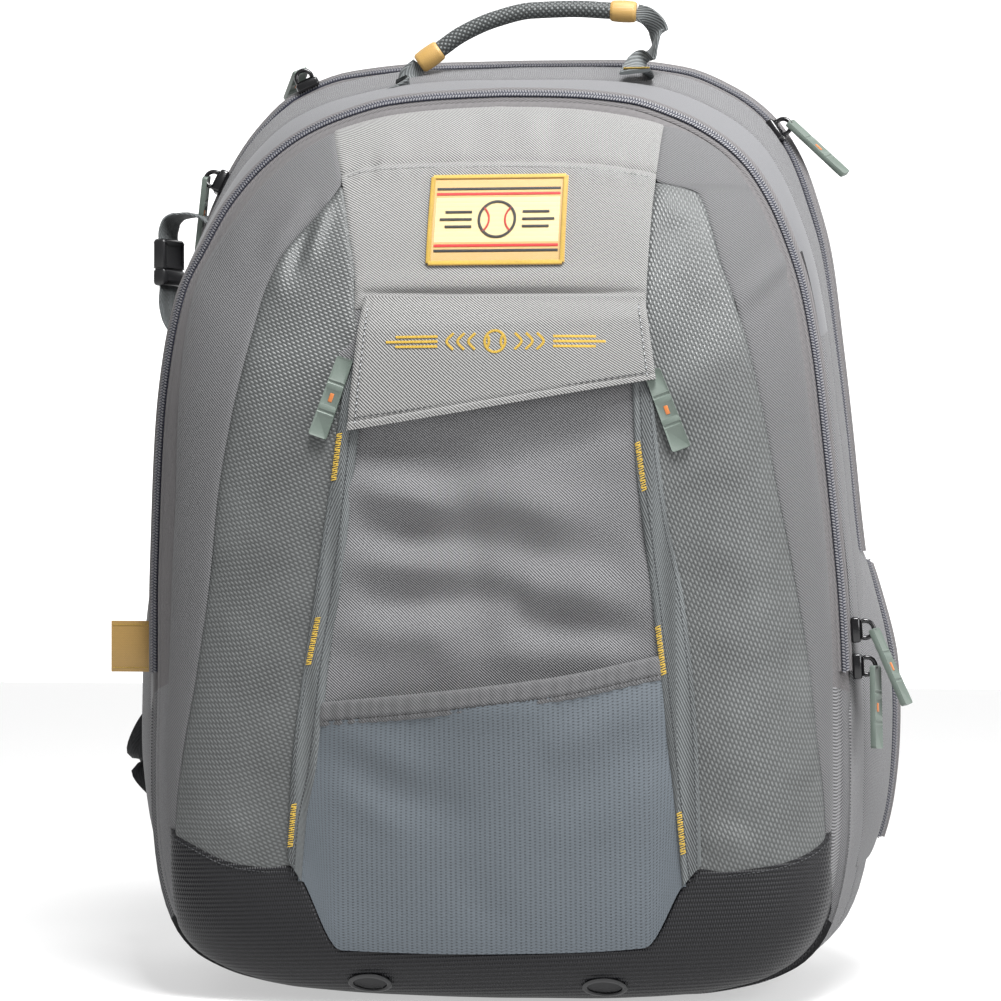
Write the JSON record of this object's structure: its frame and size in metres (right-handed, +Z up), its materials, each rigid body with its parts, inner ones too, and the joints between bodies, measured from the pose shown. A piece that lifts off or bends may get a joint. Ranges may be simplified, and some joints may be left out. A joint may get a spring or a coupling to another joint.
{
  "type": "backpack",
  "caption": "Baseball backpack: domed zipped front with flap and stretch pocket, boot base, webbing strips, side bat pockets, padded straps and a braided grab handle.",
  "frame": {"origin": "middle of the part seen from above, on the surface it stands on", "axes": "+Z up, -Y towards the front panel, +X towards the wearer's left, which is the right of the front view"},
  "size_m": [0.4374, 0.3116, 0.5261],
  "materials": {
    "twill": "matte woven twill",
    "light_twill": "matte woven twill",
    "embossed_cloth": "satin embossed weave",
    "boot_cloth": "semi-gloss coated ribbed cloth",
    "ripstop": "matte ripstop",
    "webbing": "matte herringbone webbing",
    "gold_satin": "satin",
    "zip_cloth": "matte tape with nylon coil",
    "black_metal": "gloss",
    "black_webbing": "matte webbing",
    "black_plastic": "satin",
    "sage_rubber": "matte moulded",
    "grip_braid": "braided tube",
    "mesh_padding": "spacer mesh over foam"
  },
  "bodies": {
    "root": {"front_shell": "twill", "gusset_ring": "twill", "rear_shell": "twill", "base_panel": "boot_cloth", "front_zip": "zip_cloth", "main_zip": "zip_cloth", "border_panel_left": "twill", "border_panel_right": "twill", "textured_panel_left": "embossed_cloth", "textured_panel_right": "embossed_cloth", "yoke_panel": "light_twill", "centre_panel": "twill", "base_boot": "boot_cloth", "webbing_strip_left": "webbing", "webbing_strip_right": "webbing", "flap": "twill", "stretch_pocket": "ripstop", "pocket_binding": "webbing", "front_patch": "gold_satin", "drain_eyelet_left": "black_plastic", "drain_eyelet_right": "black_plastic", "handle_grip": "grip_braid", "handle_ferrule_left": "gold_satin", "handle_ferrule_right": "gold_satin", "handle_webbing_left": "webbing", "handle_webbing_right": "webbing", "side_pocket_left": "twill", "side_pocket_right": "twill", "side_zip_left": "zip_cloth", "side_zip_right": "zip_cloth", "back_pad": "mesh_padding", "shoulder_strap_left": "mesh_padding", "shoulder_strap_right": "mesh_padding", "bat_strap_upper": "webbing", "bat_strap_lower": "webbing", "bat_strap_buckle": "black_plastic", "strap_adjuster_left": "black_plastic", "strap_adjuster_right": "black_plastic", "strap_webbing_left": "black_webbing", "strap_webbing_right": "black_webbing", "side_tag": "gold_satin", "zip_slider_main_right": "black_metal", "zip_pull_main_right": "sage_rubber", "zip_slider_main_left": "black_metal", "zip_pull_main_left": "sage_rubber", "zip_slider_side_left": "black_metal", "zip_pull_side_left": "sage_rubber", "zip_slider_front_upper": "black_metal", "zip_pull_front_upper": "sage_rubber", "zip_slider_front_lower": "black_metal", "zip_pull_front_lower": "sage_rubber", "pocket_pull_left": "sage_rubber", "pocket_pull_right": "sage_rubber"}
  },
  "joints": []
}
